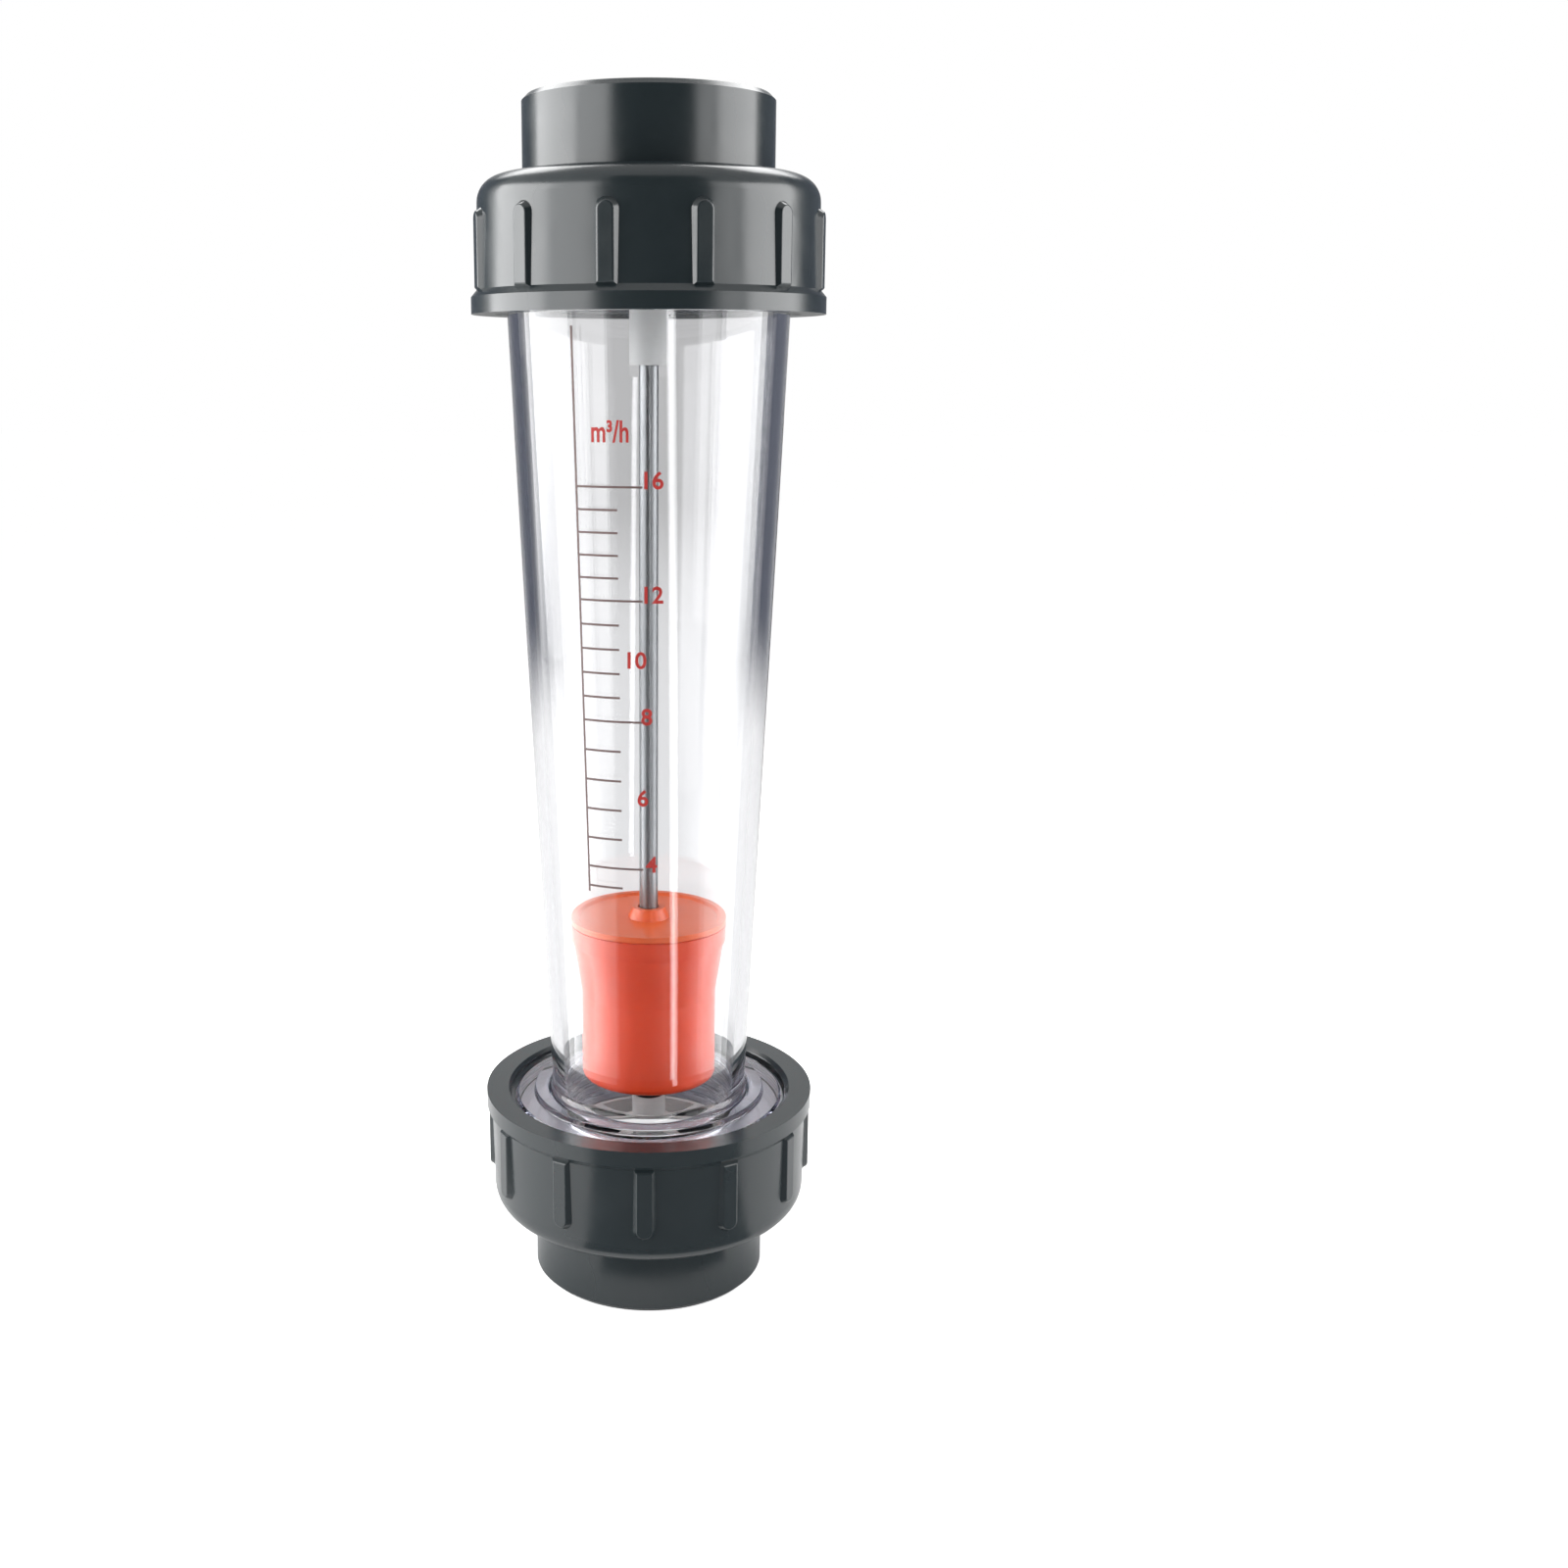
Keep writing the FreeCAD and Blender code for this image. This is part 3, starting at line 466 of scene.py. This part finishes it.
class ROTAMETER_OT_scale(bpy.types.Operator):
    """Numerals and unit printed on the tube, and the ink of the marks"""
    bl_idname = "rotameter.scale"
    bl_label = "Scale"

    def execute(self, context):
        s, c = context.scene.rotameter_sizes, context.scene.rotameter_colours
        # Screen-printed ink: flat, thin, a little uneven in tone.
        inks = {}
        for name, value in (("printed_mark_ink", c.ink), ("printed_numeral_ink", c.numeral)):
            inks[name], tree, shader = finish(name, value, **{"Roughness": 0.5})
            patches = grain(tree, shader, 0.2 * MM, 0.004 * MM, 0.45, 0.6)
            mottle(tree, shader, patches, value, 0.8, 1.2)
        dress(inks["printed_mark_ink"], "scale_marks")
        # Each number with its middle in millimetres, round the tube from the front and up.
        for word, across, height in (("16", 0.9, 265.4), ("12", 0.9, 232.0), ("10", -4.1, 212.4),
                                     ("8", -0.6, 195.2), ("6", -1.8, 170.0), ("4", 0.9, 148.9)):
            self.letter(context, f"numeral_{word}", word, across * MM, height * MM, s.numeral, 1.0,
                        inks["printed_numeral_ink"])
        # The unit is taller and set narrower.
        self.letter(context, "unit_of_flow", "m³/h", -11.4 * MM, 279.3 * MM, s.numeral * 1.25, 0.72,
                    inks["printed_numeral_ink"])
        return {"FINISHED"}

    def letter(self, context, name, word, across, height, tall, width, ink):
        """One word as a thin mesh laid on the tapered tube, centred across and up."""
        s = context.scene.rotameter_sizes
        text = bpy.data.curves.new(name, "FONT")
        text.body = word
        text.size = tall / CAP_SHARE
        text.align_x = "CENTER"
        text.extrude = s.ink / 2
        text.offset = tall * 0.03    # makes the strokes bolder
        holder = bpy.data.objects.new(name, text)
        bpy.context.scene.collection.objects.link(holder)
        bpy.context.view_layer.update()
        mesh = bpy.data.meshes.new_from_object(holder)
        bpy.data.objects.remove(holder)
        bm = bmesh.new()
        bm.from_mesh(mesh)
        bpy.data.meshes.remove(mesh)
        bmesh.ops.remove_doubles(bm, verts=bm.verts, dist=SAME_PLACE)
        ups = [point.co.y for point in bm.verts]
        middle = (min(ups) + max(ups)) / 2
        for point in bm.verts:
            up = height + point.co.y - middle
            skin = bore_radius(s, up) + s.wall
            angle = (across + point.co.x * width) / skin
            radius = skin + s.ink / 2 + point.co.z
            point.co = (radius * math.sin(angle), -radius * math.cos(angle), up)
        bmesh.ops.recalc_face_normals(bm, faces=bm.faces)
        piece_from(bm, name, ink, "meter_tube", "scale_print")


class ROTAMETER_OT_stage(bpy.types.Operator):
    """Floor, background, studio lights and camera"""
    bl_idname = "rotameter.stage"
    bl_label = "Studio"

    def execute(self, context):
        c = context.scene.rotameter_colours
        scene = context.scene
        scene.view_settings.view_transform = "Standard"
        self.floor(scene, c)
        self.background(scene)
        # Dark curtain behind the camera and grey card on the floor before it: azimuths of both ends, then
        # radius and height of both edges.
        self.wall(scene, "front_curtain", -30, 42, (1.0, 0.002), (1.0, 1.6))
        self.wall(scene, "front_card", -34, 58, (0.058, 0.001), (1.0, 0.002), "#6A6E72")
        # Dark flags at both sides of the background give the clear tube its dark upper edges. They thin out
        # towards the middle and the floor.
        for name, start, end in (("left_flag", -172, -128), ("right_flag", 116, 172)):
            self.soften_edges(self.wall(scene, name, start, end, (0.78, 0.002), (0.78, 1.0), "#53565F"))
        # Azimuth (0 is the camera's side, 90 the right), elevation, distance, width, height, radiance.
        # The last one is the share that is seen through the tube.
        for lamp in (("left_softbox", -92, 10, 0.9, 0.85, 0.85, 5.0, 0.4),
                     ("left_fill", -49, 10, 0.9, 0.45, 0.85, 2.6, 0.5),
                     ("right_softbox", 86, 10, 0.9, 0.75, 0.85, 3.8, 0.36),
                     ("right_fill", 50, 10, 0.9, 0.25, 0.85, 1.6, 0.5),
                     ("back_light", 180, 55, 0.8, 0.9, 0.5, 5.0, 0.5)):
            self.lamp(scene, *lamp, LOWER_EDGE)
        # Small lamps close by draw their lines on the tube's skin alone.
        alone = bpy.data.collections.new("tube_alone")
        alone.objects.link(bpy.data.objects["clear_tube"])
        for lamp in (("strip_light", 20, 0, 0.13, 0.012, 0.4, 7.0, 0.0, ()),
                     ("left_glow", -66, 0, 0.14, 0.17, 0.4, 5.0, 0.0, UPWARDS_AND_LEFT),
                     ("right_glow", 66, 0, 0.14, 0.15, 0.4, 3.2, 0.0, UPWARDS_AND_RIGHT)):
            self.lamp(scene, *lamp).light_linking.receiver_collection = alone
        # The strip leans with the tube's taper, which keeps its line upright.
        taper_lean = math.radians(5.5)
        bpy.data.objects["strip_light"].rotation_euler.rotate_axis("Z", taper_lean)
        self.camera(scene)
        return {"FINISHED"}

    def floor(self, scene, c):
        """Matt painted floor, lifted to white for the camera, and seen through glass as paler close by."""
        camera_lift = 0.7
        board, tree, shader = finish("painted_board", c.floor,
                                     **{"Roughness": 0.8, "Specular IOR Level": 0.2,
                                        "Emission Color": (1.0, 1.0, 1.0, 1.0)})
        path = add(tree, "ShaderNodeLightPath").outputs
        lift = add(tree, "ShaderNodeMath", {"operation": "MULTIPLY"},
                   {0: path["Is Camera Ray"], 1: camera_lift})
        tree.links.new(lift.outputs[0], shader.inputs["Emission Strength"])
        place = add(tree, "ShaderNodeTexCoord").outputs["Object"]
        reach = add(tree, "ShaderNodeVectorMath", {"operation": "LENGTH"}, {0: place}).outputs["Value"]
        level = add(tree, "ShaderNodeMapRange", {"interpolation_type": "SMOOTHSTEP"},
                    {"Value": reach, "From Min": 0.6, "From Max": 3.5,
                     "To Min": GLASS_FLOOR_VIEW, "To Max": GLASS_VIEW})
        glow = add(tree, "ShaderNodeEmission", inputs={"Strength": level.outputs[0]})
        mix = add(tree, "ShaderNodeMixShader",
                  inputs={0: path["Is Transmission Ray"], 1: shader.outputs[0], 2: glow.outputs[0]})
        tree.links.new(mix.outputs[0], tree.nodes["Material Output"].inputs["Surface"])
        bm = bmesh.new()
        bmesh.ops.create_grid(bm, x_segments=1, y_segments=1, size=8.0)
        self.staged(scene, bm, "floor", board)

    def background(self, scene):
        """White surroundings, at one level for each kind of ray that looks at them."""
        world = bpy.data.worlds.new("studio")
        scene.world = world
        world.use_nodes = True
        tree = world.node_tree
        tree.nodes.clear()
        path = add(tree, "ShaderNodeLightPath").outputs
        level = FILL_VIEW
        for kind, strength in (("Is Glossy Ray", GLOSS_VIEW), ("Is Transmission Ray", GLASS_VIEW),
                               ("Is Camera Ray", CAMERA_VIEW)):
            level = add(tree, "ShaderNodeMix", inputs={0: path[kind], 2: level, 3: strength}).outputs[0]
        back = add(tree, "ShaderNodeBackground", inputs={"Color": (1.0, 1.0, 1.0, 1.0), "Strength": level})
        add(tree, "ShaderNodeOutputWorld", inputs={"Surface": back.outputs[0]})

    def staged(self, scene, bm, name, material):
        """Adds a stage mesh from a bmesh."""
        mesh = bpy.data.meshes.new(name)
        bm.to_mesh(mesh)
        bm.free()
        mesh.materials.append(material)
        holder = bpy.data.objects.new(name, mesh)
        scene.collection.objects.link(holder)
        return holder

    def wall(self, scene, name, start, end, inner, outer, code="#15171A"):
        """Card bent part of the way round the object, which only gloss and glass see."""
        cloth = finish(name + "_cloth", linear(code), **{"Roughness": 0.9, "Specular IOR Level": 0.0})[0]
        bm = bmesh.new()
        a = math.radians(start)
        bm.edges.new([bm.verts.new((radius * math.sin(a), -radius * math.cos(a), height))
                      for radius, height in (inner, outer)])
        bmesh.ops.spin(bm, geom=bm.verts[:] + bm.edges[:], cent=(0, 0, 0), axis=(0, 0, 1), dvec=(0, 0, 0),
                       angle=math.radians(end - start), steps=24, use_merge=False, use_normal_flip=False,
                       use_duplicate=False)
        holder = self.staged(scene, bm, name, cloth)
        holder.visible_camera = False
        holder.visible_diffuse = False
        holder.visible_shadow = False
        return holder

    def soften_edges(self, holder):
        """Lets a flag fade near straight back and near the floor."""
        tree = holder.data.materials[0].node_tree
        place = add(tree, "ShaderNodeTexCoord").outputs["Object"]
        axes = add(tree, "ShaderNodeSeparateXYZ", inputs={0: place}).outputs
        side = add(tree, "ShaderNodeMath", {"operation": "ABSOLUTE"}, {0: axes["X"]}).outputs[0]
        turn_off = add(tree, "ShaderNodeMath", {"operation": "ARCTAN2"}, {0: side, 1: axes["Y"]}).outputs[0]
        cover = 1.0
        for value, start, end in ((turn_off, math.radians(9), math.radians(24)),
                                  (axes["Z"], -0.01, 0.1)):
            step = add(tree, "ShaderNodeMapRange", {"interpolation_type": "SMOOTHSTEP"},
                       {"Value": value, "From Min": start, "From Max": end}).outputs[0]
            cover = add(tree, "ShaderNodeMath", {"operation": "MULTIPLY"}, {0: cover, 1: step}).outputs[0]
        gap = add(tree, "ShaderNodeBsdfTransparent")
        mix = add(tree, "ShaderNodeMixShader",
                  inputs={0: cover, 1: gap.outputs[0], 2: tree.nodes["Principled BSDF"].outputs[0]})
        tree.links.new(mix.outputs[0], tree.nodes["Material Output"].inputs["Surface"])

    def place(self, azimuth, elevation, distance):
        """Point at an azimuth, elevation and distance from the middle of the tube."""
        a, e = math.radians(azimuth), math.radians(elevation)
        return AIM + distance * Vector((math.sin(a) * math.cos(e), -math.cos(a) * math.cos(e),
                                        math.sin(e)))

    def lamp(self, scene, name, azimuth, elevation, distance, width, height, radiance, through, fades):
        """Rectangular lamp that faces the tube, with its share of light through the tube and its fades."""
        light = bpy.data.lights.new(name, "AREA")
        light.shape = "RECTANGLE"
        light.size, light.size_y = width, height
        light.energy = radiance * width * height * math.pi
        light.use_nodes = True
        tree = light.node_tree
        tree.nodes.clear()
        path = add(tree, "ShaderNodeLightPath").outputs
        level = add(tree, "ShaderNodeMix",
                    inputs={0: path["Is Transmission Ray"], 2: 1.0, 3: through}).outputs[0]
        sheet = add(tree, "ShaderNodeSeparateXYZ",
                    inputs={0: add(tree, "ShaderNodeNewGeometry").outputs["Parametric"]}).outputs
        for axis, start, end in fades:
            step = add(tree, "ShaderNodeMapRange", {"interpolation_type": "SMOOTHSTEP"},
                       {"Value": sheet[axis], "From Min": start, "From Max": end}).outputs[0]
            level = add(tree, "ShaderNodeMath", {"operation": "MULTIPLY"}, {0: level, 1: step}).outputs[0]
        glow = add(tree, "ShaderNodeEmission", inputs={"Strength": level})
        add(tree, "ShaderNodeOutputLight", inputs={"Surface": glow.outputs[0]})
        holder = bpy.data.objects.new(name, light)
        holder.location = self.place(azimuth, elevation, distance)
        holder.rotation_euler = (AIM - holder.location).to_track_quat("-Z", "Y").to_euler()
        holder.visible_camera = False
        scene.collection.objects.link(holder)
        return holder

    def camera(self, scene):
        """Camera a little above the middle of the object, looking slightly down."""
        lens = bpy.data.cameras.new("camera")
        lens.sensor_width = 36.0
        lens.lens = 39.87
        # The shifts put the object left of the middle of the frame without turning the camera.
        lens.shift_x = 0.08625
        lens.shift_y = -0.03125
        tilt_down = 11.91
        holder = bpy.data.objects.new("camera", lens)
        holder.location = (0.0, -0.5457, 0.2969)
        holder.rotation_euler = (math.radians(90 - tilt_down), 0.0, 0.0)
        scene.collection.objects.link(holder)
        scene.camera = holder


class ROTAMETER_PT_panel(bpy.types.Panel):
    """Buttons for every piece, with the sizes and colours"""
    bl_label = "Rotameter"
    bl_idname = "ROTAMETER_PT_panel"
    bl_space_type = "VIEW_3D"
    bl_region_type = "UI"
    bl_category = "Rotameter"

    def draw(self, context):
        for operator in OPERATORS:
            self.layout.operator(operator.bl_idname)
        for group in (context.scene.rotameter_sizes, context.scene.rotameter_colours):
            for key in group.bl_rna.properties.keys():
                if key not in ("rna_type", "name"):
                    self.layout.prop(group, key)


OPERATORS = (ROTAMETER_OT_housing, ROTAMETER_OT_tube, ROTAMETER_OT_nut_threads, ROTAMETER_OT_float,
             ROTAMETER_OT_guide, ROTAMETER_OT_scale, ROTAMETER_OT_stage)
CLASSES = (RotameterSizes, RotameterColours) + OPERATORS + (ROTAMETER_PT_panel,)


def register():
    """Registers the classes and puts the sizes and colours on the scene."""
    for item in CLASSES:
        bpy.utils.register_class(item)
    bpy.types.Scene.rotameter_sizes = bpy.props.PointerProperty(type=RotameterSizes)
    bpy.types.Scene.rotameter_colours = bpy.props.PointerProperty(type=RotameterColours)


def unregister():
    """Takes the sizes, the colours and the classes away again."""
    del bpy.types.Scene.rotameter_colours
    del bpy.types.Scene.rotameter_sizes
    for item in reversed(CLASSES):
        bpy.utils.unregister_class(item)


def main():
    """Registers the classes and builds every piece in order."""
    register()
    for operator in OPERATORS:
        group, action = operator.bl_idname.split(".")
        getattr(getattr(bpy.ops, group), action)()


if __name__ == "__main__":
    main()
